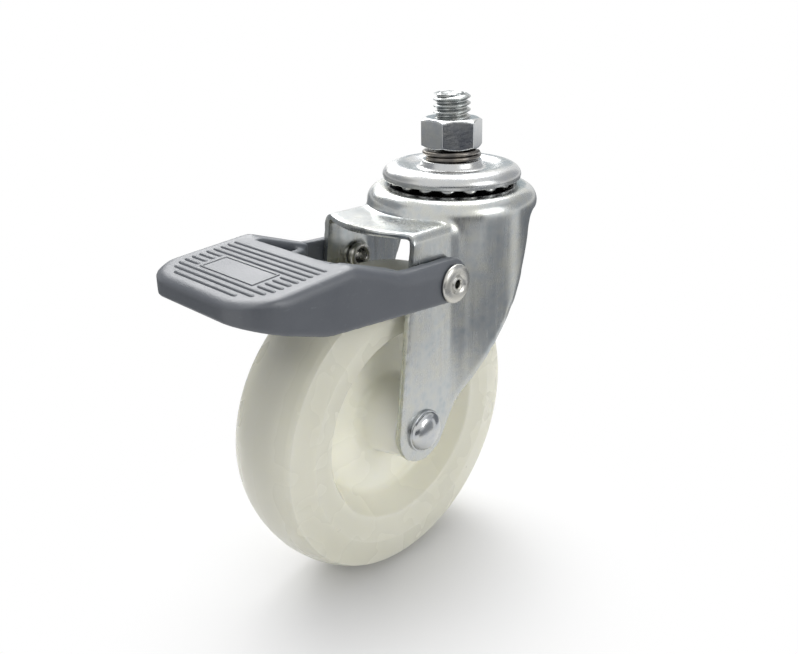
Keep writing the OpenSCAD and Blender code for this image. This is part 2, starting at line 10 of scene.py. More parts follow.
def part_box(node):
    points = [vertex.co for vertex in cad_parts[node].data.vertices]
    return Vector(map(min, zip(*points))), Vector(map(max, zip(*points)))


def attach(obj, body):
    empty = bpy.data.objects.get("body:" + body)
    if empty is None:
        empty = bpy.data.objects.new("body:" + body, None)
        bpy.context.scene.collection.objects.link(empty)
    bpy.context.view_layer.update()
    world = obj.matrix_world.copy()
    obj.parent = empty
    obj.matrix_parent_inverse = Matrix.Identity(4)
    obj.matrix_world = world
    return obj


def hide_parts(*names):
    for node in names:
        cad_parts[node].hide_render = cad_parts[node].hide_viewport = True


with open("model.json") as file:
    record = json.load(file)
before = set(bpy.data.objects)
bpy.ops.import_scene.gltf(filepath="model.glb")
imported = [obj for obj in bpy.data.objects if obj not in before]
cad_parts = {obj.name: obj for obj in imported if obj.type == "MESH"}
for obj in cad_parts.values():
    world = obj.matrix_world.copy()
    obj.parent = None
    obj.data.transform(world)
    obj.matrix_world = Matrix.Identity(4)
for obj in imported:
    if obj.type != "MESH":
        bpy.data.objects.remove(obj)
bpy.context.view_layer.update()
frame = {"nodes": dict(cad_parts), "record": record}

MM = 0.001
WELD = 1e-6
FULL_TURN = 2 * math.pi


def node_box(node):
    """A node's lowest and highest corner in millimetres."""
    low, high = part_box(node)
    return [c / MM for c in low], [c / MM for c in high]


def middle_z(node):
    low, high = node_box(node)
    return (low[2] + high[2]) / 2


joint_at = {j["name"]: [c / MM for c in j["pos_m"]] for j in frame["record"]["behaviour"]["joints"]}
AXLE_X, _, AXLE_Z = joint_at["wheel_spin"]
PIVOT_X, _, PIVOT_Z = joint_at["brake_press"]
BOSS_Z = node_box("top_cap")[1][2]
STEM_TOP = node_box("stem_bolt")[1][2]
DRUM_TOP = node_box("fork")[1][2]
FLOOR_Z = node_box("wheel")[0][2]


# Material helpers

def node_material(name):
    mat = bpy.data.materials.new(name)
    mat.use_nodes = True
    tree = mat.node_tree
    shader = tree.nodes["Principled BSDF"]
    coords = tree.nodes.new("ShaderNodeTexCoord")
    return mat, tree, shader, coords.outputs["Object"]


def stretched(tree, coords, scale, turn=None):
    """Coordinates turned about the origin and then scaled."""
    for amounts, socket in ((turn and [math.radians(a) for a in turn], "Rotation"), (scale, "Scale")):
        if amounts:
            mapping = tree.nodes.new("ShaderNodeMapping")
            mapping.inputs[socket].default_value = amounts
            tree.links.new(coords, mapping.inputs["Vector"])
            coords = mapping.outputs["Vector"]
    return coords


def noise(tree, coords, scale, detail, roughness=0.55):
    tex = tree.nodes.new("ShaderNodeTexNoise")
    tex.inputs["Scale"].default_value = scale
    tex.inputs["Detail"].default_value = detail
    tex.inputs["Roughness"].default_value = roughness
    tree.links.new(coords, tex.inputs["Vector"])
    return tex.outputs["Fac"]


def spangle(tree, coords, scale, smoothness):
    tex = tree.nodes.new("ShaderNodeTexVoronoi")
    tex.feature = "SMOOTH_F1"
    tex.inputs["Scale"].default_value = scale
    tex.inputs["Smoothness"].default_value = smoothness
    tree.links.new(coords, tex.inputs["Vector"])
    return tex.outputs["Distance"]


def ramp(tree, value, stops):
    node = tree.nodes.new("ShaderNodeValToRGB")
    for i, (place, colour) in enumerate(stops):
        stop = node.color_ramp.elements[i] if i < 2 else node.color_ramp.elements.new(place)
        stop.position = place
        stop.color = (*colour, 1.0)
    tree.links.new(value, node.inputs["Fac"])
    return node.outputs["Color"]


def spread(tree, value, low, high, from_low=0.3, from_high=0.7, smooth=False):
    """A value mapped from one range to another; a noise mostly lies between 0.3 and 0.7."""
    node = tree.nodes.new("ShaderNodeMapRange")
    node.interpolation_type = "SMOOTHSTEP" if smooth else "LINEAR"
    node.inputs["From Min"].default_value = from_low
    node.inputs["From Max"].default_value = from_high
    node.inputs["To Min"].default_value = low
    node.inputs["To Max"].default_value = high
    tree.links.new(value, node.inputs["Value"])
    return node.outputs["Result"]


def maths(tree, operation, a, b):
    node = tree.nodes.new("ShaderNodeMath")
    node.operation = operation
    for socket, value in zip(node.inputs, (a, b)):
        if isinstance(value, (int, float)):
            socket.default_value = value
        else:
            tree.links.new(value, socket)
    return node.outputs["Value"]


def weighted_sum(tree, a, a_weight, b, b_weight):
    return maths(tree, "ADD", maths(tree, "MULTIPLY", a, a_weight), maths(tree, "MULTIPLY", b, b_weight))


def blend(tree, mask, below, above):
    node = tree.nodes.new("ShaderNodeMix")
    node.data_type = "RGBA"
    tree.links.new(mask, node.inputs["Factor"])
    for socket, value in ((node.inputs["A"], below), (node.inputs["B"], above)):
        if isinstance(value, tuple):
            socket.default_value = (*value, 1.0)
        else:
            tree.links.new(value, socket)
    return node.outputs["Result"]


def bump(tree, shader, height, strength, distance):
    node = tree.nodes.new("ShaderNodeBump")
    node.inputs["Strength"].default_value = strength
    node.inputs["Distance"].default_value = distance
    tree.links.new(height, node.inputs["Height"])
    tree.links.new(node.outputs["Normal"], shader.inputs["Normal"])


def axis_distance(tree, coords, flattened, at=(0, 0, 0)):
    """Distance in metres from an axis through a point; the scale of its own direction is nought."""
    mapping = tree.nodes.new("ShaderNodeMapping")
    mapping.inputs["Location"].default_value = [-c * MM for c in at]
    mapping.inputs["Scale"].default_value = flattened
    tree.links.new(coords, mapping.inputs["Vector"])
    length = tree.nodes.new("ShaderNodeVectorMath")
    length.operation = "LENGTH"
    tree.links.new(mapping.outputs["Vector"], length.inputs[0])
    return length.outputs["Value"]


def height_of(tree, coords):
    node = tree.nodes.new("ShaderNodeSeparateXYZ")
    tree.links.new(coords, node.inputs[0])
    return node.outputs["Z"]


ALONG_Y = (1, 0, 1)
ALONG_Z = (1, 1, 0)


# Zinc and steel

# Painted shade: a near-black ring on the fork's head under the balls, for the deep shade in the gap below the
# cap.
PAINTED_SHADE_COLOUR = (0.012, 0.012, 0.013)
SHADE_EDGE_WAVE = 1.6
SHADE_FULL = 0.5
SHADE_END = 1.3
SHADE_LOW = DRUM_TOP - 1.9
SHADE_RISE = 0.1


def painted_shade_mask(tree, coords, clouds, radius):
    """One under the balls on the fork's head, where shade is painted into the gap below the cap, with an
    uneven border.
    """
    reach = axis_distance(tree, coords, ALONG_Z)
    edge = maths(tree, "ADD", reach, maths(tree, "MULTIPLY", clouds, SHADE_EDGE_WAVE * MM))
    ring = spread(tree, edge, 1.0, 0.0, (radius + SHADE_FULL) * MM, (radius + SHADE_END) * MM, smooth=True)
    height = height_of(tree, coords)
    top_only = spread(tree, height, 0.0, 1.0, SHADE_LOW * MM, (SHADE_LOW + SHADE_RISE) * MM)
    return maths(tree, "MULTIPLY", ring, top_only)


def zinc_plate(name, tints, gloss, streak, grain_height=0.03, shade_r=None):
    """Bright zinc on pressed steel: cool and warm clouds, drawn streaks and a fine grain."""
    mat, tree, shader, coords = node_material(name)
    clouds = noise(tree, coords, scale=85.0, detail=6.0, roughness=0.6)
    flakes = spangle(tree, coords, scale=420.0, smoothness=0.6)
    mottle = weighted_sum(tree, clouds, 0.8, flakes, 0.35)
    colour = ramp(tree, mottle, list(zip((0.34, 0.52, 0.72), tints)))
    lines = noise(tree, stretched(tree, coords, streak), scale=1.0, detail=6.0, roughness=0.65)
    rough = spread(tree, weighted_sum(tree, lines, 0.5, clouds, 0.5), *gloss)
    if shade_r is None:
        shader.inputs["Metallic"].default_value = 1.0
    else:
        # Painted shade under the balls: dark, and not metal.
        gap_shade = painted_shade_mask(tree, coords, clouds, shade_r)
        colour = blend(tree, gap_shade, colour, PAINTED_SHADE_COLOUR)
        tree.links.new(maths(tree, "SUBTRACT", 1.0, gap_shade), shader.inputs["Metallic"])
    tree.links.new(colour, shader.inputs["Base Color"])
    tree.links.new(rough, shader.inputs["Roughness"])
    grain = noise(tree, coords, scale=1900.0, detail=3.0)
    relief = weighted_sum(tree, grain, 0.5, lines, 0.6)
    bump(tree, shader, relief, strength=grain_height, distance=0.3 * MM)
    return mat


ZINC = zinc_plate(
    "bright_zinc", ((0.5, 0.515, 0.535), (0.55, 0.56, 0.565), (0.585, 0.585, 0.565)),
    gloss=(0.21, 0.35), streak=(700, 700, 700), grain_height=0.045)
FORK_ZINC = zinc_plate(
    "pressed_zinc", ((0.46, 0.495, 0.505), (0.52, 0.538, 0.535), (0.56, 0.565, 0.525)),
    gloss=(0.17, 0.34), streak=(800, 800, 40), grain_height=0.045, shade_r=21.4)
NUT_ZINC = zinc_plate(
    "nut_zinc", ((0.48, 0.5, 0.53), (0.53, 0.545, 0.555), (0.57, 0.575, 0.555)),
    gloss=(0.14, 0.28), streak=(400, 400, 1200))
# Painted shade: the stem's zinc again, darker on the thread for the shade among its turns.
SHADED_THREAD_ZINC = zinc_plate(
    "shaded_thread_zinc", ((0.35, 0.375, 0.38), (0.41, 0.43, 0.425), (0.47, 0.475, 0.455)),
    gloss=(0.2, 0.34), streak=(500, 500, 500))
RIVET_ZINC = zinc_plate(
    "rivet_zinc", ((0.45, 0.455, 0.455), (0.53, 0.525, 0.5), (0.6, 0.585, 0.53)),
    gloss=(0.2, 0.36), streak=(600, 600, 600))
BALL_STEEL = zinc_plate(
    "ball_steel", ((0.5, 0.51, 0.53), (0.56, 0.56, 0.57), (0.6, 0.6, 0.59)),
    gloss=(0.07, 0.14), streak=(300, 300, 300), grain_height=0.006)
SPRING_STEEL = zinc_plate(
    "burnished_spring_steel", ((0.1, 0.095, 0.092), (0.16, 0.15, 0.14), (0.28, 0.255, 0.22)),
    gloss=(0.25, 0.4), streak=(300, 300, 900))


# Nylon and pedal plastic

# Radii where the dish's painted light turns into the rim's painted shade, and where the tread is rubbed.
GLOW_TO_R = 25
RIM_SHADE_FROM_R = 34
ROLLED_FROM_R = 48.6
ROLLED_FULL_R = 49.9


def milky_nylon():
    """Nylon that lets light through, with painted light and shade: paler in the dish as if lit through its
    thin wall, darker in the rim as painted shade, and rubbed where it rolls.
    """
    mat, tree, shader, coords = node_material("milky_nylon")
    clouds = noise(tree, coords, scale=18.0, detail=2.0)
    # Painted light and shade: the dish's colour is painted paler, as light shining through it, and the rim's
    # darker, as shade.
    thin = ramp(tree, clouds, [(0.3, (0.87, 0.86, 0.745)), (0.7, (0.915, 0.905, 0.815))])
    rim_shade = ramp(tree, clouds, [(0.3, (0.72, 0.71, 0.6)), (0.7, (0.78, 0.77, 0.67))])
    radius = axis_distance(tree, coords, ALONG_Y, (AXLE_X, 0, AXLE_Z))
    rim_shade_mask = spread(tree, radius, 0.0, 1.0, GLOW_TO_R * MM, RIM_SHADE_FROM_R * MM, smooth=True)
    rolled = spread(tree, radius, 0.0, 0.5, ROLLED_FROM_R * MM, ROLLED_FULL_R * MM, smooth=True)
    colour = blend(tree, rolled, blend(tree, rim_shade_mask, thin, rim_shade), (0.68, 0.67, 0.58))
    tree.links.new(colour, shader.inputs["Base Color"])
    shader.inputs["Subsurface Weight"].default_value = 0.6
    shader.inputs["Subsurface Radius"].default_value = (1.0, 0.97, 0.8)
    shader.inputs["Subsurface Scale"].default_value = 8 * MM
    smears = noise(tree, stretched(tree, coords, (60, 30, 60)), scale=1.0, detail=2.0)
    rough = weighted_sum(tree, spread(tree, smears, 0.22, 0.32), 1.0, rolled, 0.2)
    tree.links.new(rough, shader.inputs["Roughness"])
    grain = noise(tree, coords, scale=900.0, detail=2.0)
    bump(tree, shader, grain, strength=0.02, distance=0.2 * MM)
    return mat


def pedal_plastic():
    """A blue-grey moulding with faint clouds, a fine grain and paler rub marks."""
    mat, tree, shader, coords = node_material("pedal_plastic")
    clouds = noise(tree, coords, scale=60.0, detail=6.0, roughness=0.65)
    colour = ramp(tree, clouds, [(0.3, (0.07, 0.079, 0.094)), (0.72, (0.085, 0.094, 0.109))])
    slanted = stretched(tree, coords, (120, 700, 700), turn=(0, 0, 24))
    rubs = noise(tree, slanted, scale=1.0, detail=4.0, roughness=0.7)
    rubbed = spread(tree, rubs, 0.0, 0.5, from_low=0.62, from_high=0.74)
    tree.links.new(blend(tree, rubbed, colour, (0.14, 0.15, 0.17)), shader.inputs["Base Color"])
    tree.links.new(spread(tree, clouds, 0.36, 0.46), shader.inputs["Roughness"])
    shader.inputs["Specular IOR Level"].default_value = 0.9
    grain = noise(tree, coords, scale=1700.0, detail=3.0)
    relief = weighted_sum(tree, grain, 1.0, clouds, 0.6)
    bump(tree, shader, relief, strength=0.14, distance=0.3 * MM)
    return mat


NYLON = milky_nylon()
PEDAL = pedal_plastic()


# Mesh helpers

def rounded(points, steps=6):
    """An open outline from (radius, height, corner radius) points, with its corners rounded."""
    line = []
    for i, (r, h, corner) in enumerate(points):
        here = Vector((r, h))
        if corner <= 0 or i in (0, len(points) - 1):
            line.append(tuple(here))
            continue
        to_last = (Vector(points[i - 1][:2]) - here).normalized()
        to_next = (Vector(points[i + 1][:2]) - here).normalized()
        half = to_last.angle(to_next) / 2
        centre = here + (to_last + to_next).normalized() * corner / math.sin(half)
        first = here + to_last * corner / math.tan(half) - centre
        last = here + to_next * corner / math.tan(half) - centre
        sweep = first.angle_signed(last)
        for k in range(steps + 1):
            line.append(tuple(centre + Matrix.Rotation(-sweep * k / steps, 2) @ first))
    return line


def bow(r_mid, h_mid, r_reach, h_reach, start, stop, count):
    """Points on an ellipse about (r_mid, h_mid), between two angles in degrees."""
    angles = [math.radians(start + (stop - start) * i / count) for i in range(count + 1)]
    return [(r_mid + r_reach * math.cos(a), h_mid + h_reach * math.sin(a)) for a in angles]


def both_sides(outline, on_middle=()):
    """An outline with its mirror image, joined at points on the middle."""
    return outline + list(on_middle) + [(r, -h) for r, h in reversed(outline)]


def finish_piece(bm, name, body, material, nodes, sharp=35.0):
    mesh = bpy.data.meshes.new(name)
    bm.to_mesh(mesh)
    bm.free()
    mesh.shade_smooth()
    mesh.set_sharp_from_angle(angle=math.radians(sharp))
    piece = bpy.data.objects.new(name, mesh)
    bpy.context.scene.collection.objects.link(piece)
    piece.data.materials.append(material)
    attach(piece, body)
    if nodes:
        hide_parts(*nodes)


def turned(section, steps, closed=True):
    """A section turned once about the upright axis."""
    bm = bmesh.new()
    chain = [bm.verts.new((r * MM, 0, h * MM)) for r, h in section]
    pairs = list(zip(chain, chain[1:]))
    if closed:
        pairs.append((chain[-1], chain[0]))
    for a, b in pairs:
        bm.edges.new((a, b))
    bmesh.ops.spin(bm, geom=bm.verts[:] + bm.edges[:], cent=(0, 0, 0), axis=(0, 0, 1), angle=FULL_TURN,
                   steps=steps, use_merge=True, use_duplicate=False)
    bmesh.ops.remove_doubles(bm, verts=bm.verts, dist=WELD)
    bmesh.ops.recalc_face_normals(bm, faces=bm.faces)
    return bm


def laid_along_y(bm, x, z, mirrored=False):
    turn = Matrix.Rotation(math.radians(90 if mirrored else -90), 4, "X")
    bm.transform(Matrix.Translation((x * MM, 0, z * MM)) @ turn)
    return bm


def smoothed(bm, verts, passes):
    for _ in range(passes):
        bmesh.ops.smooth_vert(bm, verts=verts, factor=0.5, use_axis_x=True, use_axis_y=True, use_axis_z=True)


def even_mesh(node, voxel):
    """A merged copy of a node's solid with a fine, even mesh, ready to be eased."""
    bm = bmesh.new()
    bm.from_mesh(frame["nodes"][node].data)
    bmesh.ops.remove_doubles(bm, verts=bm.verts, dist=2 * WELD)
    mesh = bpy.data.meshes.new(node + "_raw")
    bm.to_mesh(mesh)
    bm.free()
    raw = bpy.data.objects.new(node + "_raw", mesh)
    bpy.context.scene.collection.objects.link(raw)
    remesh = raw.modifiers.new("even_mesh", "REMESH")
    remesh.mode = "VOXEL"
    remesh.voxel_size = voxel * MM
    depsgraph = bpy.context.evaluated_depsgraph_get()
    even = bpy.data.meshes.new_from_object(raw.evaluated_get(depsgraph))
    bpy.data.objects.remove(raw)
    bm = bmesh.new()
    bm.from_mesh(even)
    bpy.data.meshes.remove(even)
    return bm


def sharp_edges(bm, angle):
    return [e for e in bm.edges if e.is_manifold and e.calc_face_angle() > math.radians(angle)]


def away_from_edges(bm, angle):
    """The vertices that lie on no edge sharper than an angle."""
    on_edge = {v for e in sharp_edges(bm, angle) for v in e.verts}
    return [v for v in bm.verts if v not in on_edge]


def hollows(bm, angle, rings):
    """The vertices in inner corners sharper than an angle, with some rings of their neighbours."""
    found = {v for e in sharp_edges(bm, angle) if not e.is_convex for v in e.verts}
    for _ in range(rings):
        found |= {e.other_vert(v) for v in found for e in v.link_edges}
    return list(found)


def crisped(bm, normal_passes, vertex_passes, likeness):
    """Evens out a quad mesh and draws its edges straight: like-facing neighbours are averaged."""
    bm.verts.index_update()
    bm.faces.index_update()
    points = np.array([v.co for v in bm.verts])
    quads = np.array([[v.index for v in f.verts] for f in bm.faces])
    sides = np.array([[f.index for f in e.link_faces] for e in bm.edges if e.is_manifold])
    normals = np.cross(points[quads[:, 2]] - points[quads[:, 0]], points[quads[:, 3]] - points[quads[:, 1]])
    normals /= np.linalg.norm(normals, axis=1)[:, None]
    for _ in range(normal_passes):
        apart = normals[sides[:, 0]] - normals[sides[:, 1]]
        weight = np.exp(-(apart ** 2).sum(axis=1) / (2 * likeness ** 2))[:, None]
        mean = normals.copy()
        np.add.at(mean, sides[:, 0], weight * normals[sides[:, 1]])
        np.add.at(mean, sides[:, 1], weight * normals[sides[:, 0]])
        normals = mean / np.linalg.norm(mean, axis=1)[:, None]
    shares = np.bincount(quads.ravel(), minlength=len(points))[:, None]
    for _ in range(vertex_passes):
        centres = points[quads].mean(axis=1)
        pull = np.zeros_like(points)
        for k in range(4):
            off = ((centres - points[quads[:, k]]) * normals).sum(axis=1)
            np.add.at(pull, quads[:, k], off[:, None] * normals)
        points += pull / shares
    for v, place in zip(bm.verts, points):
        v.co = place


# Stem: the thread, cut off roughly at the top, and the plain body below it

PITCH = 25.4 / 12
CREST_R = 6.1
CREST_EDGE_R = CREST_R - 0.06
ROOT_R = 4.85
TURN_STEPS = 64
THREAD_TOP = STEM_TOP - 0.5
THREAD_LOW = BOSS_Z - 0.5


def threaded_stem():
    turns = math.ceil((STEM_TOP - BOSS_Z) / PITCH) + 2
    low = STEM_TOP - (turns - 1) * PITCH
    flank = [(ROOT_R, 0), (ROOT_R, 0.1), (CREST_EDGE_R, 0.44), (CREST_R, 0.48), (CREST_R, 0.56),
             (CREST_EDGE_R, 0.6), (ROOT_R, 0.94), (ROOT_R, 1)]
    bm = bmesh.new()
    chain = [bm.verts.new((r * MM, 0, (low + t * PITCH) * MM)) for r, t in flank]
    for a, b in zip(chain, chain[1:]):
        bm.edges.new((a, b))
    bmesh.ops.spin(bm, geom=bm.verts[:] + bm.edges[:], cent=(0, 0, 0), axis=(0, 0, 1),
                   dvec=(0, 0, PITCH * MM / TURN_STEPS), angle=turns * FULL_TURN, steps=turns * TURN_STEPS,
                   use_merge=False, use_duplicate=False)
    bmesh.ops.remove_doubles(bm, verts=bm.verts, dist=2 * WELD)
    for height, up in ((THREAD_TOP, 1), (THREAD_LOW, -1)):
        bmesh.ops.bisect_plane(bm, geom=bm.verts[:] + bm.edges[:] + bm.faces[:], dist=0.1 * WELD,
                               plane_co=(0, 0, height * MM), plane_no=(0, 0, up), clear_outer=True)
    ragged_end(bm, [e for e in bm.edges if e.is_boundary and e.verts[0].co.z > 0])
    bmesh.ops.recalc_face_normals(bm, faces=bm.faces)
    return bm


def ragged_end(bm, rim):
    """Closes the stem's top as a hollow, uneven cut, in rings of (part of the radius, lift)."""
    for inward, lift in ((0.9, 0.45), (0.72, 0.05), (0.4, -0.45), (0.15, -0.5)):
        made = bmesh.ops.extrude_edge_only(bm, edges=rim)["geom"]
        verts = [g for g in made if isinstance(g, bmesh.types.BMVert)]
        rim = [g for g in made if isinstance(g, bmesh.types.BMEdge) and g.is_boundary]
        for v in verts:
            a = math.atan2(v.co.y, v.co.x)
            wobble = 0.16 * math.sin(3 * a + 0.7) + 0.12 * math.sin(7 * a) + 0.06 * math.sin(13 * a + 2)
            r = ROOT_R * inward * MM
            v.co = Vector((r * math.cos(a), r * math.sin(a), (THREAD_TOP + lift + wobble * inward) * MM))
    bmesh.ops.holes_fill(bm, edges=rim, sides=0)


# The thread wears the darker zinc that stands for painted shade.
finish_piece(threaded_stem(), "stem_thread", "stem", SHADED_THREAD_ZINC, ["stem_bolt"], sharp=50)

CAP_T = 2
NECK_TOP = BOSS_Z - 0.4
NECK_R = 6.05
SHANK_R = 8
RACE_SEAT_R = 5.75
FORMED_R = 8.4
FORMED_TIP_R = 5.9
FORMED_LOW = node_box("stem_bolt")[0][2]
RACE_LOW, RACE_TOP = (c[2] for c in node_box("lower_race"))
stem_body = rounded([
    (0, NECK_TOP, 0), (NECK_R, NECK_TOP, 0), (NECK_R, BOSS_Z - CAP_T, 0), (SHANK_R, BOSS_Z - CAP_T, 0),
    (SHANK_R, RACE_TOP, 0), (RACE_SEAT_R, RACE_TOP, 0), (RACE_SEAT_R, RACE_LOW, 0), (FORMED_R, RACE_LOW, 0.3),
    (FORMED_R, RACE_LOW - 1, 0.5), (FORMED_TIP_R, FORMED_LOW, 0.8), (0, FORMED_LOW, 0),
])
finish_piece(turned(stem_body, steps=96, closed=False), "stem_body", "stem", ZINC, [])

# Nut: crisp flats with turned chamfers
nut = even_mesh("hex_nut", voxel=0.17)
smoothed(nut, nut.verts, passes=2)
smoothed(nut, away_from_edges(nut, angle=18), passes=8)
finish_piece(nut, "hexagon_nut", "stem", NUT_ZINC, ["hex_nut"], sharp=50)

# Spring washer: flat wire, a little over one turn
WASHER_LOW, WASHER_TOP = (c[2] for c in node_box("spring_washer"))
WASHER_R = node_box("spring_washer")[1][0]
WIRE_IN = 6.45
WIRE_T = 1.45
WIRE_EDGE = 0.66
WIRE_START = math.radians(161)
WIRE_SWEEP = math.radians(490)
WIRE_STEPS = 160


def washer_wire():
    seam = (WIRE_IN, WASHER_LOW + WIRE_T / 2, 0)
    top = WASHER_LOW + WIRE_T
    section = rounded([seam, (WIRE_IN, WASHER_LOW, WIRE_EDGE), (WASHER_R, WASHER_LOW, WIRE_EDGE),
                       (WASHER_R, top, WIRE_EDGE), (WIRE_IN, top, WIRE_EDGE), seam], steps=4)
    bm = bmesh.new()
    turn = Matrix.Rotation(WIRE_START, 4, "Z")
    ends = [bm.verts.new(turn @ Vector((r * MM, 0, h * MM))) for r, h in section[:-1]]
    loop = [bm.edges.new((a, b)) for a, b in zip(ends, ends[1:] + ends[:1])]
    climb = (WASHER_TOP - WASHER_LOW - WIRE_T) * MM / WIRE_STEPS
    bmesh.ops.spin(bm, geom=ends + loop, cent=(0, 0, 0), axis=(0, 0, 1), dvec=(0, 0, climb), angle=WIRE_SWEEP,
                   steps=WIRE_STEPS, use_merge=False, use_duplicate=False)
    bmesh.ops.remove_doubles(bm, verts=bm.verts, dist=WELD)
    bmesh.ops.holes_fill(bm, edges=[e for e in bm.edges if e.is_boundary], sides=0)
    bmesh.ops.recalc_face_normals(bm, faces=bm.faces)
    return bm


finish_piece(washer_wire(), "spring_washer_wire", "stem", SPRING_STEEL, ["spring_washer"],
             sharp=40)

# Top cap: a revolved pressing with a boss, a valley, a bulge and a short lip
CAP_R = node_box("top_cap")[1][0]
LIP_LOW = node_box("top_cap")[0][2]
BALL_RING_R = 17.8
GROOVE_R = 3.2
CAP_BORE_R = 6.15
BOSS_R = 9.95
BOSS_FOOT_R = 10.7
BOSS_IN_R = 8.2
VALLEY_R = 12.9
GROOVE_IN_R = 14.6
LIP_IN_R = 21.2
CREST_Z = BOSS_Z - 1.1
VALLEY_Z = BOSS_Z - 2.6
RIDGE_Z = LIP_LOW + 1.3
CLIMB_STEPS = 14


def cap_climb(t):
    """A point on the soft rise from the valley to the bulge's crest, with t from 0 to 1."""
    rise = (1 - math.cos(math.pi * t)) / 2
    return VALLEY_R + (BALL_RING_R - VALLEY_R) * t, VALLEY_Z + (CREST_Z - VALLEY_Z) * rise


cap = rounded([(CAP_BORE_R, BOSS_Z, 0), (BOSS_R, BOSS_Z, 0.7), (BOSS_FOOT_R, VALLEY_Z, 1.7),
               (VALLEY_R, VALLEY_Z + 0.02, 0)], steps=8)
cap += [cap_climb(t / CLIMB_STEPS) for t in range(1, CLIMB_STEPS)]
cap += bow(BALL_RING_R, RIDGE_Z, CAP_R - BALL_RING_R, CREST_Z - RIDGE_Z, start=90, stop=4, count=16)
cap += [(CAP_R - 0.02, RIDGE_Z - 0.02), (CAP_R - 0.2, RIDGE_Z - 0.14), (CAP_R - 0.24, RIDGE_Z - 0.3)]
cap += [(CAP_R - 0.2, LIP_LOW + 0.35), (CAP_R - 0.35, LIP_LOW + 0.08), (CAP_R - 0.65, LIP_LOW)]
cap += [(LIP_IN_R, LIP_LOW)]
cap += bow(BALL_RING_R, middle_z("upper_balls"), GROOVE_R, GROOVE_R, start=8, stop=150, count=14)
cap += [(GROOVE_IN_R, VALLEY_Z - CAP_T), (BOSS_IN_R, VALLEY_Z - CAP_T), (BOSS_IN_R, BOSS_Z - CAP_T)]
cap += [(CAP_BORE_R, BOSS_Z - CAP_T)]
finish_piece(turned(cap, steps=160), "swivel_cap", "stem", ZINC, ["top_cap"], sharp=50)


# Balls and the lower race

LOWER_RING_R = 12.0
LOWER_GROOVE_R = 2.4
RACE_R = node_box("lower_race")[1][0]
RACE_BORE_R = 5.77
RACE_GROOVE_IN_R = 9.7
RACE_GROOVE_OUT_R = 14.3
FIRST_BALL = 0.25


def ball_ring(name, node, count, ring_r, radius):
    """A ring of balls, with the first one part of a step round from +X."""
    bm = bmesh.new()
    for i in range(count):
        a = FULL_TURN * (i + FIRST_BALL) / count
        middle = Vector((ring_r * math.cos(a), ring_r * math.sin(a), middle_z(node))) * MM
        bmesh.ops.create_uvsphere(bm, u_segments=32, v_segments=20, radius=radius * MM,
                                  matrix=Matrix.Translation(middle))
    finish_piece(bm, name, "stem", BALL_STEEL, [node], sharp=60)


ball_ring("upper_ball_ring", "upper_balls", count=17, ring_r=BALL_RING_R, radius=3.175)
ball_ring("lower_ball_ring", "lower_balls", count=15, ring_r=LOWER_RING_R, radius=2.38)

race = [(RACE_BORE_R, RACE_TOP), (RACE_GROOVE_IN_R, RACE_TOP)]
race += bow(LOWER_RING_R, middle_z("lower_balls"), LOWER_GROOVE_R, LOWER_GROOVE_R, start=-160, stop=-20,
            count=12)
race += rounded([(RACE_GROOVE_OUT_R, RACE_TOP, 0), (RACE_R, RACE_TOP, 0.3), (RACE_R, RACE_LOW, 1.6),
                 (RACE_BORE_R, RACE_LOW, 0)])
finish_piece(turned(race, steps=96), "lower_race_ring", "stem", ZINC, ["lower_race"])

# Fork: one pressed sheet, with soft bends and crisp cut edges
fork = even_mesh("fork", voxel=0.48)
smoothed(fork, hollows(fork, angle=15, rings=2), passes=8)
crisped(fork, normal_passes=10, vertex_passes=24, likeness=0.22)
finish_piece(fork, "pressed_fork", "fork", FORK_ZINC, ["fork"], sharp=40)

# Axle rivet and its spacer tube
LEG_OUT = 19.7
LEG_IN = 17.7
AXLE_R = 4
TUBE_IN_R = 4.02
TUBE_R = 6
COLLAR_R = 6.7
COLLAR_TOP = LEG_OUT + 0.9
DOME_R = COLLAR_R - 0.5
DOME_FOOT_R = COLLAR_R - 0.45
DOME_END = node_box("axle_rivet")[1][1]
head = [(0, DOME_END)] + bow(0, COLLAR_TOP, DOME_R, DOME_END - COLLAR_TOP, start=86, stop=4, count=16)
head += rounded([(DOME_FOOT_R, COLLAR_TOP, 0), (COLLAR_R, COLLAR_TOP, 0.25), (COLLAR_R, LEG_OUT, 0.2),
                 (AXLE_R, LEG_OUT, 0)], steps=4)
rivet = laid_along_y(turned(both_sides(head), steps=96, closed=False), AXLE_X, AXLE_Z)
finish_piece(rivet, "axle_rivet_formed", "fork", NUT_ZINC, ["axle_rivet"])
tube_section = [(TUBE_IN_R, LEG_IN), (TUBE_IN_R, -LEG_IN), (TUBE_R, -LEG_IN), (TUBE_R, LEG_IN)]
tube = laid_along_y(turned(tube_section, steps=96), AXLE_X, AXLE_Z)
finish_piece(tube, "axle_tube", "fork", ZINC, ["axle_sleeve"])

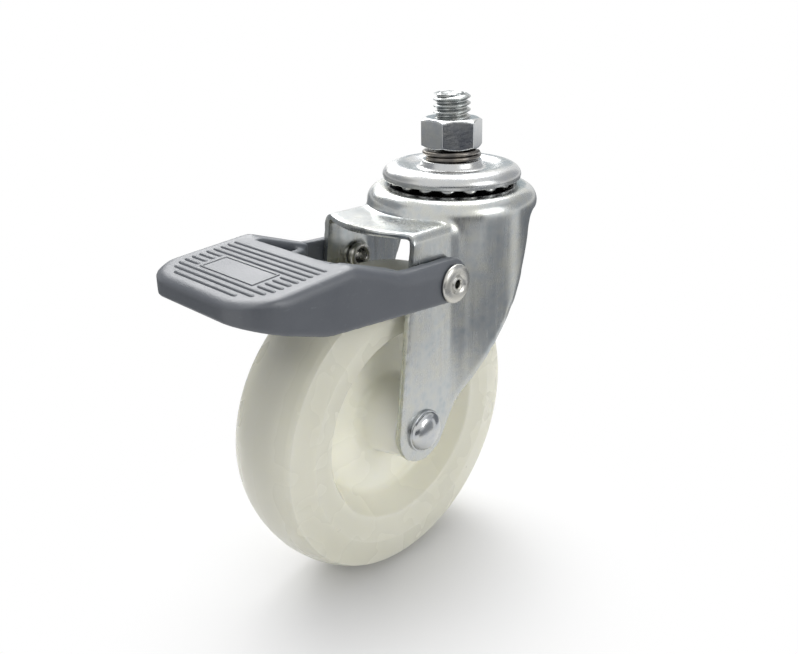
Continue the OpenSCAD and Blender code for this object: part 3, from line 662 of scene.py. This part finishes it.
# Wheel: one milky moulding with a crowned tread, sloped shoulders, dished sides and a long hub
WHEEL_R = 50
TREAD_HALF = 12.8
TREAD_DROP = 3
SHOULDER_R = WHEEL_R - TREAD_DROP
HUB_HALF = node_box("wheel")[1][1]
HUB_R = 10
HUB_FOOT_R = 12.5
BORE_R = 6.05
BORE_EDGE_R = 6.4
WEB_HALF = 3
DISH_R = 27
RIM_IN_R = 31.4
RIM_CREST_R = 38.8
RIM_HALF = 14.2
crown_r = (TREAD_HALF ** 2 + TREAD_DROP ** 2) / (2 * TREAD_DROP)
crown_a = math.degrees(math.asin(TREAD_HALF / crown_r))
half_wheel = rounded([
    (BORE_R, HUB_HALF - 0.4, 0), (BORE_EDGE_R, HUB_HALF, 0), (HUB_R, HUB_HALF, 0.9),
    (HUB_FOOT_R, WEB_HALF, 3), (DISH_R, WEB_HALF, 3), (RIM_IN_R, RIM_HALF - 1.8, 1.2),
    (RIM_CREST_R, RIM_HALF, 0.8),
    (SHOULDER_R - 0.1, TREAD_HALF + 0.04, 0.6), (SHOULDER_R + 0.35, TREAD_HALF - 1, 0),
], steps=8)
half_wheel += bow(WHEEL_R - crown_r, 0, crown_r, crown_r, start=crown_a * 0.9, stop=crown_a * 0.06, count=12)
half_wheel += [(WHEEL_R + 0.01, 0.25)]
parting_line = (WHEEL_R + 0.06, 0)
wheel = laid_along_y(turned(both_sides(half_wheel, [parting_line]), steps=192), AXLE_X, AXLE_Z)
finish_piece(wheel, "nylon_wheel", "wheel", NYLON, ["wheel"], sharp=60)

# Hollow pivot rivets: a domed flange with an eyelet, and a rolled tail inside the leg
ARM_OUT = node_box("brake_pedal")[1][1]
SEAT = ARM_OUT + 0.3
FLANGE_R = 6
FLANGE_EDGE = SEAT + 0.35
FLANGE_MID_R = 3.45
FLANGE_TOP = node_box("pivot_rivet_left")[1][1]
EYELET_TOP = FLANGE_TOP - 0.1
EYELET_FOOT = FLANGE_TOP - 0.6
SHANK_OUT_R = 3.95
TAIL = node_box("pivot_rivet_left")[0][1]
TAIL_R = 4.35
TAIL_IN_R = 2.4
pivot = rounded([
    (3, SEAT - 1.6, 0), (2.6, TAIL + 1.4, 0), (TAIL_IN_R, TAIL, 0.75), (TAIL_R, TAIL, 0.9),
    (TAIL_R, LEG_IN - 0.1, 0.6), (SHANK_OUT_R, LEG_IN, 0), (SHANK_OUT_R, SEAT, 0), (FLANGE_R, SEAT, 0.15),
    (FLANGE_R, FLANGE_EDGE, 0.1),
], steps=5)
pivot += bow(FLANGE_MID_R, FLANGE_EDGE, FLANGE_R - FLANGE_MID_R, FLANGE_TOP - FLANGE_EDGE, start=8, stop=96,
             count=10)
pivot += rounded([
    (2.9, FLANGE_TOP - 0.25, 0), (2.45, EYELET_FOOT, 0.15), (2.2, EYELET_TOP, 0.2), (1.55, EYELET_TOP, 0.25),
    (1.3, EYELET_FOOT, 0.2), (1.26, SEAT - 0.5, 0),
], steps=4)
for name, node, mirrored in (("pivot_rivet_far", "pivot_rivet_left", False),
                             ("pivot_rivet_near", "pivot_rivet_right", True)):
    pivot_rivet = laid_along_y(turned(pivot, steps=72), PIVOT_X, PIVOT_Z, mirrored)
    finish_piece(pivot_rivet, name, "fork", RIVET_ZINC, [node])

# Pedal: a soft-edged moulding with crisp ribs round a bare, framed panel
PAD_FRONT = node_box("brake_pedal")[0][0]
PAD_BACK = PAD_FRONT + 33
PAD_BACK_Z = PIVOT_Z + 14.4
PAD_SLOPE = math.tan(math.radians(4))
PAD_CORNER = 13.5
EDGE_BAND = 5
EDGE_FALL = 2.2
NOSE_BAND = 4
NOSE_FALL = 1.6
FACING_UP = 0.6
RIB_COUNT = 11
RIB_PITCH = 2.31
RIB_R = 0.88
RIB_H = 0.46
RIB_MARGIN = 4.5
FIRST_RIB = PAD_BACK - 5
PANEL_HALF = 12.7
PANEL_RIBS = range(4, 8)
LINE_W = 0.65
LINE_T = 0.75
LINE_SUNK = 0.5
LINE_EDGE = 0.22


def pad_z(x):
    return PAD_BACK_Z - (PAD_BACK - x) * PAD_SLOPE


def edge_lift(y):
    """Height by which the falling band at each side is filled out to a round."""
    along = (abs(y) - ARM_OUT + EDGE_BAND) / EDGE_BAND
    return EDGE_FALL * (along - along ** 5) if 0 < along < 1 else 0.0


def nose_fall(x, y):
    """Depth by which the pad's front edge and its corners roll off."""
    ahead = PAD_FRONT + PAD_CORNER - x
    if ahead <= 0:
        return 0.0
    aside = max(0.0, abs(y) - ARM_OUT + PAD_CORNER)
    out = math.hypot(ahead, aside)
    along = max(0.0, 1 - (PAD_CORNER - out) / NOSE_BAND)
    return NOSE_FALL * min(along, 1.0) ** 3 * ahead / out


def pedal_moulding():
    bm = even_mesh("brake_pedal", voxel=0.38)
    bm.normal_update()
    for v in bm.verts:
        x, y, z = v.co / MM
        if v.normal.z > FACING_UP:
            z += edge_lift(y)
        if x < PAD_BACK:
            z = min(z, pad_z(x) - nose_fall(x, y))
        v.co.z = z * MM
    smoothed(bm, bm.verts, passes=9)
    return bm


def add_rib(bm, x, low, high):
    """A round-ended bar across the pad, sunk to its height."""
    reach = (high - low) / 2 - RIB_R
    made = bmesh.ops.create_uvsphere(bm, u_segments=16, v_segments=10, radius=RIB_R * MM,
                                     matrix=Matrix.Rotation(math.radians(90), 4, "X"))["verts"]
    for v in made:
        end = reach - RIB_R if v.co.y > -0.1 * WELD else RIB_R - reach
        v.co.y = 2 * v.co.y + end * MM
    place = Vector((x, (low + high) / 2, pad_z(x) + RIB_H - RIB_R)) * MM
    bmesh.ops.translate(bm, verts=made, vec=place)


def pad_ribs():
    """Ribs across the pad, each as long as the rounded front allows and open at the panel."""
    bm = bmesh.new()
    for i in range(RIB_COUNT):
        x = FIRST_RIB - i * RIB_PITCH
        past = max(0.0, PAD_FRONT + PAD_CORNER - x)
        half = ARM_OUT - PAD_CORNER + math.sqrt((PAD_CORNER - RIB_MARGIN) ** 2 - past ** 2)
        if i in PANEL_RIBS:
            add_rib(bm, x, PANEL_HALF, half)
            add_rib(bm, x, -half, -PANEL_HALF)
        else:
            add_rib(bm, x, -half, half)
    return bm


def panel_frame():
    """A thin raised line round the bare panel."""
    middle_x = FIRST_RIB - (PANEL_RIBS[0] + PANEL_RIBS[-1]) / 2 * RIB_PITCH
    size = Vector((2 * RIB_PITCH - 0.25, PANEL_HALF - 0.9, 1)) * MM
    bm = bmesh.new()
    bmesh.ops.create_grid(bm, x_segments=1, y_segments=1, size=1)
    bmesh.ops.scale(bm, verts=bm.verts, vec=size)
    ring = bmesh.ops.inset_region(bm, faces=bm.faces[:], thickness=LINE_W * MM, use_boundary=True,
                                  use_even_offset=True)["faces"]
    bmesh.ops.delete(bm, geom=[f for f in bm.faces if f not in ring], context="FACES")
    made = bmesh.ops.extrude_face_region(bm, geom=bm.faces[:])["geom"]
    lifted = [g for g in made if isinstance(g, bmesh.types.BMVert)]
    bmesh.ops.translate(bm, verts=lifted, vec=(0, 0, LINE_T * MM))
    bmesh.ops.recalc_face_normals(bm, faces=bm.faces)
    bmesh.ops.bevel(bm, geom=sharp_edges(bm, angle=30), offset=LINE_EDGE * MM, affect="EDGES", segments=3,
                    profile=0.5, material=-1)
    tilt = Matrix.Rotation(-math.atan(PAD_SLOPE), 4, "Y")
    bm.transform(Matrix.Translation(Vector((middle_x, 0, pad_z(middle_x) - LINE_SUNK)) * MM) @ tilt)
    return bm


finish_piece(pedal_moulding(), "pedal_moulding", "pedal", PEDAL, ["brake_pedal"], sharp=70)
finish_piece(pad_ribs(), "pad_grip_ribs", "pedal", PEDAL, [], sharp=60)
finish_piece(panel_frame(), "pad_panel_frame", "pedal", PEDAL, [], sharp=40)


# Floor

WHITE = (1, 1, 1)
FLOOR_REACH = 30.0
FLOOR_GAP = 0.1 * MM
SHADOW_FULL_R = 0.012
SHADOW_END_R = 0.1


def stage_object(bm, name, material):
    mesh = bpy.data.meshes.new(name)
    bm.to_mesh(mesh)
    bm.free()
    thing = bpy.data.objects.new(name, mesh)
    bpy.context.scene.collection.objects.link(thing)
    thing.data.materials.append(material)
    return thing


def seen_as_background(tree):
    """One for the camera and for what metal and glass show, nought for light on the object."""
    path = tree.nodes.new("ShaderNodeLightPath")
    seen = maths(tree, "MAXIMUM", path.outputs["Is Camera Ray"], path.outputs["Is Glossy Ray"])
    return maths(tree, "MAXIMUM", seen, path.outputs["Is Transmission Ray"])


def pale_floor():
    """A matt floor under the wheel, where the shadow lies, that runs out into plain white."""
    mat, tree, shader, coords = node_material("pale_floor")
    shader.inputs["Base Color"].default_value = (0.78, 0.78, 0.78, 1)
    shader.inputs["Roughness"].default_value = 0.9
    shader.inputs["Specular IOR Level"].default_value = 0.1
    glow = tree.nodes.new("ShaderNodeEmission")
    mix = tree.nodes.new("ShaderNodeMixShader")
    from_contact = axis_distance(tree, coords, ALONG_Z, (AXLE_X, 0, 0))
    away = spread(tree, from_contact, 0.0, 1.0, SHADOW_FULL_R, SHADOW_END_R, smooth=True)
    tree.links.new(maths(tree, "MULTIPLY", away, seen_as_background(tree)), mix.inputs["Fac"])
    tree.links.new(shader.outputs["BSDF"], mix.inputs[1])
    tree.links.new(glow.outputs["Emission"], mix.inputs[2])
    tree.links.new(mix.outputs["Shader"], tree.nodes["Material Output"].inputs["Surface"])
    return mat


def floor():
    bm = bmesh.new()
    bmesh.ops.create_grid(bm, x_segments=1, y_segments=1, size=FLOOR_REACH,
                          matrix=Matrix.Translation((0, 0, FLOOR_Z * MM - FLOOR_GAP)))
    stage_object(bm, "floor", pale_floor())


floor()


# Cards that only the reflections show, in metres and degrees

CARD_FADE = 0.035
CARD_STEPS = 24
LOW = FLOOR_Z * MM
NEAR = 0.16
FAR = 0.45
DARK = (0.05, 0.055, 0.07)


def card(name, azimuths, distance, heights, colour):
    """A curved card that stands round the object, with a soft upper edge."""
    mat, tree, _, coords = node_material(name)
    glow = tree.nodes.new("ShaderNodeEmission")
    fade = spread(tree, height_of(tree, coords), 0.0, 1.0, heights[1] - CARD_FADE, heights[1], smooth=True)
    tree.links.new(blend(tree, fade, colour, WHITE), glow.inputs["Color"])
    tree.links.new(glow.outputs["Emission"], tree.nodes["Material Output"].inputs["Surface"])
    bm = bmesh.new()
    first, last = (math.radians(a) for a in azimuths)
    ends = [bm.verts.new((distance * math.cos(first), distance * math.sin(first), z)) for z in heights]
    edge = bm.edges.new(ends)
    bmesh.ops.spin(bm, geom=ends + [edge], cent=(0, 0, 0), axis=(0, 0, 1), angle=last - first,
                   steps=CARD_STEPS, use_merge=False, use_duplicate=False)
    thing = stage_object(bm, name, mat)
    thing.visible_camera = False
    thing.visible_diffuse = False
    thing.visible_shadow = False
    thing.visible_transmission = False


card("dark_card", (200, 240), 0.34, (LOW, 0.0), DARK)
card("nut_card", (240, 262), 0.34, (-0.127, 0.0), DARK)
card("crease_card", (238, 262), NEAR, (LOW, -0.064), (0.28, 0.29, 0.31))
card("near_card", (262, 300), NEAR, (LOW, -0.035), (0.32, 0.33, 0.35))
card("side_card", (314, 405), NEAR, (LOW, -0.018), (0.24, 0.25, 0.27))
card("right_wall", (-62, 8), FAR, (0.0, 0.4), (0.55, 0.56, 0.58))
card("back_card", (72, 165), 0.2, (LOW, 0.0), (0.3, 0.31, 0.32))
card("left_wall", (90, 150), FAR, (0.0, 0.4), (0.4, 0.41, 0.43))
card("low_wall", (66, 90), FAR, (-0.03, 0.12), (0.38, 0.39, 0.41))
card("web_card", (26, 48), FAR, (0.03, 0.17), (0.4, 0.47, 0.51))


# Light

LIGHT_AIM = Vector((-0.02, 0, -0.06))


def studio_world():
    """A room that is lighter overhead, and plain white as a background."""
    world = bpy.data.worlds.new("studio")
    bpy.context.scene.world = world
    world.use_nodes = True
    tree = world.node_tree
    direction = tree.nodes.new("ShaderNodeTexCoord").outputs["Generated"]
    height = spread(tree, height_of(tree, direction), 0.0, 1.0, from_low=-1.0, from_high=1.0)
    light = ramp(tree, height, [(0.5, (0.32, 0.325, 0.34)), (0.95, (0.66, 0.66, 0.66))])
    colour = blend(tree, seen_as_background(tree), light, WHITE)
    tree.links.new(colour, tree.nodes["Background"].inputs["Color"])


def softbox(name, place, size, power):
    light = bpy.data.lights.new(name, "AREA")
    light.shape = "RECTANGLE"
    light.size, light.size_y = size
    light.energy = power
    lamp = bpy.data.objects.new(name, light)
    aim = (LIGHT_AIM - Vector(place)).to_track_quat("-Z", "Y").to_matrix().to_4x4()
    lamp.matrix_world = Matrix.Translation(place) @ aim
    bpy.context.scene.collection.objects.link(lamp)


studio_world()
softbox("top_softbox", (0.26, 0.16, 0.67), size=(0.52, 0.52), power=3.9)
softbox("back_softbox", (0.15, 0.52, 0.38), size=(0.46, 0.38), power=2.6)
softbox("key_softbox", (0.04, -0.56, 0.18), size=(0.3, 0.3), power=0.9)


# Camera: the photo's view, with its focal length and optical axis in pixels

PHOTO_W, PHOTO_H = 798, 654
FOCAL_PX = 789.37
AXIS_PX = (445.28, 259.55)
AZIMUTH = math.radians(-48.58)
ELEVATION = math.radians(18.15)
EYE = Vector((-195.28, -169.41, BOSS_Z + 49.44))


def photo_camera():
    backward = Vector((math.sin(AZIMUTH) * math.cos(ELEVATION), -math.cos(AZIMUTH) * math.cos(ELEVATION),
                       math.sin(ELEVATION)))
    right = Vector((math.cos(AZIMUTH), math.sin(AZIMUTH), 0))
    lens = bpy.data.cameras.new("photo_camera")
    lens.sensor_fit = "HORIZONTAL"
    lens.sensor_width = 36
    lens.lens = FOCAL_PX / PHOTO_W * lens.sensor_width
    lens.shift_x = (PHOTO_W / 2 - AXIS_PX[0]) / PHOTO_W
    lens.shift_y = (AXIS_PX[1] - PHOTO_H / 2) / PHOTO_W
    lens.clip_start = 0.01
    lens.clip_end = 200
    camera = bpy.data.objects.new("photo_camera", lens)
    turn = Matrix((right, backward.cross(right), backward)).transposed().to_4x4()
    camera.matrix_world = Matrix.Translation(EYE * MM) @ turn
    bpy.context.scene.collection.objects.link(camera)
    bpy.context.scene.camera = camera


photo_camera()
bpy.context.scene.view_settings.view_transform = "Standard"
